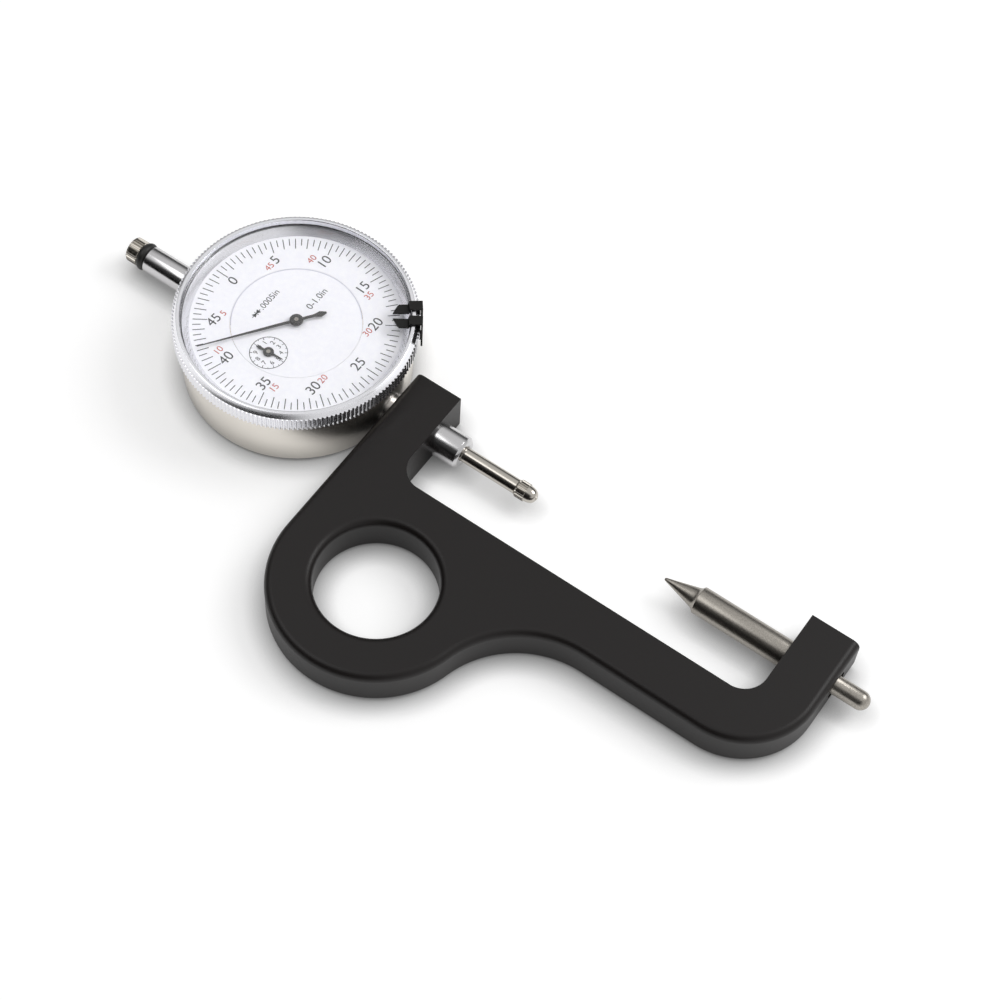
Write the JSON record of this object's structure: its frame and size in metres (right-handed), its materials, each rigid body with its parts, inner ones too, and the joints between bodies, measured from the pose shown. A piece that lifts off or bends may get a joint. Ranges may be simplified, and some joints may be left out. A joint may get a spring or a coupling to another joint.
{
  "type": "bolt stretch gauge",
  "caption": "Bolt stretch gauge: a dial indicator clamped in a C-shaped plate with a finger ring, facing a pointed sliding anvil.",
  "frame": {"origin": "centre of the dial case's back face, on the dial's axis", "axes": "+X along the spindle towards the anvil, +Y towards the open side of the C, +Z out through the dial"},
  "size_m": [0.2459, 0.1121, 0.0254],
  "materials": {
    "black_anodised": "matte black anodised",
    "case_metal": "satin, turned",
    "bezel_aluminium": "bright turned and knurled",
    "polished_steel": "ground and polished",
    "anvil_steel": "hardened, ground, satin",
    "blackened_steel": "black oxide",
    "crystal": "clear, polished",
    "dial_enamel": "white enamel with printed scale",
    "black_hand": "black lacquer",
    "black_sheet": "satin black spring sheet",
    "rubber": "smooth black rubber",
    "brass": "machined brass"
  },
  "bodies": {
    "frame": {"frame_plate": "black_anodised", "stem_set_screw": "blackened_steel", "anvil_set_screw": "blackened_steel", "case": "case_metal", "case_back": "case_metal", "back_screws": "polished_steel", "retaining_ring": "polished_steel", "stem": "polished_steel", "rear_tube": "polished_steel", "lower_plate": "brass", "upper_plate": "brass", "plate_pillars": "brass", "plate_screws": "polished_steel", "rack_bridge": "brass", "spring_post": "polished_steel", "return_spring": "polished_steel", "hairspring": "polished_steel", "hairspring_stud": "brass", "dial_disc": "dial_enamel", "dial_posts": "brass"},
    "anvil": {"anvil": "anvil_steel"},
    "spindle": {"spindle": "polished_steel", "contact_point": "polished_steel", "guide_pin": "polished_steel", "spring_pin": "polished_steel", "pull_knob": "polished_steel", "knob_o_ring": "rubber"},
    "bezel": {"bezel": "bezel_aluminium", "crystal": "crystal", "dial_ring": "dial_enamel"},
    "limit_clip_left": {"limit_clip_left": "black_sheet"},
    "limit_clip_right": {"limit_clip_right": "black_sheet"},
    "rack_arbor": {"rack_pinion_arbor": "polished_steel", "drive_gear": "brass", "counter_drive_gear": "brass"},
    "centre_arbor": {"centre_arbor": "polished_steel", "main_hand": "black_hand", "main_hand_hub": "black_hand"},
    "counter_arbor": {"counter_arbor": "polished_steel", "counter_gear": "brass", "counter_hand": "black_hand", "counter_hand_hub": "black_hand"},
    "take_up_arbor": {"take_up_arbor": "polished_steel", "take_up_gear": "brass"}
  },
  "joints": [
    {"name": "spindle_slide", "type": "slide", "parent": "frame", "child": "spindle", "axis": [-1, 0, 0], "range_m": [0, 0.0129], "stiffness_N_per_m": 45, "springref_m": -0.02, "deforming": ["return_spring"]},
    {"name": "rack_arbor_turn", "type": "hinge", "parent": "frame", "child": "rack_arbor", "pos_m": [-0.00896, -0.00375, 0.0063], "axis": [0, 0, 1], "range_deg": [0, 366.17]},
    {"name": "main_hand_turn", "type": "hinge", "parent": "frame", "child": "centre_arbor", "pos_m": [0, 0, 0.021], "axis": [0, 0, 1], "range_deg": [-3661.7, 0]},
    {"name": "counter_hand_turn", "type": "hinge", "parent": "frame", "child": "counter_arbor", "pos_m": [0, -0.01254, 0.0203], "axis": [0, 0, 1], "range_deg": [-183.13, 0]},
    {"name": "take_up_turn", "type": "hinge", "parent": "frame", "child": "take_up_arbor", "pos_m": [0.00896, 0.00375, 0.011], "axis": [0, 0, 1], "range_deg": [0, 366.17]},
    {"name": "bezel_turn", "type": "hinge", "parent": "frame", "child": "bezel", "pos_m": [0, 0, 0.022], "axis": [0, 0, 1], "continuous": true},
    {"name": "left_clip_turn", "type": "hinge", "parent": "bezel", "child": "limit_clip_left", "pos_m": [0, 0, 0.022], "axis": [0, 0, 1], "range_deg": [0, 160]},
    {"name": "right_clip_turn", "type": "hinge", "parent": "bezel", "child": "limit_clip_right", "pos_m": [0, 0, 0.022], "axis": [0, 0, 1], "range_deg": [-160, 0]},
    {"name": "anvil_slide", "type": "slide", "parent": "frame", "child": "anvil", "axis": [1, 0, 0], "range_m": [-0.006, 0.025]}
  ],
  "couplings": [
    {"joint": "rack_arbor_turn", "follows": "spindle_slide", "rad_per_m": 494.74},
    {"joint": "main_hand_turn", "follows": "spindle_slide", "rad_per_m": -4947.4},
    {"joint": "counter_hand_turn", "follows": "spindle_slide", "rad_per_m": -247.37},
    {"joint": "take_up_turn", "follows": "spindle_slide", "rad_per_m": 494.74}
  ]
}
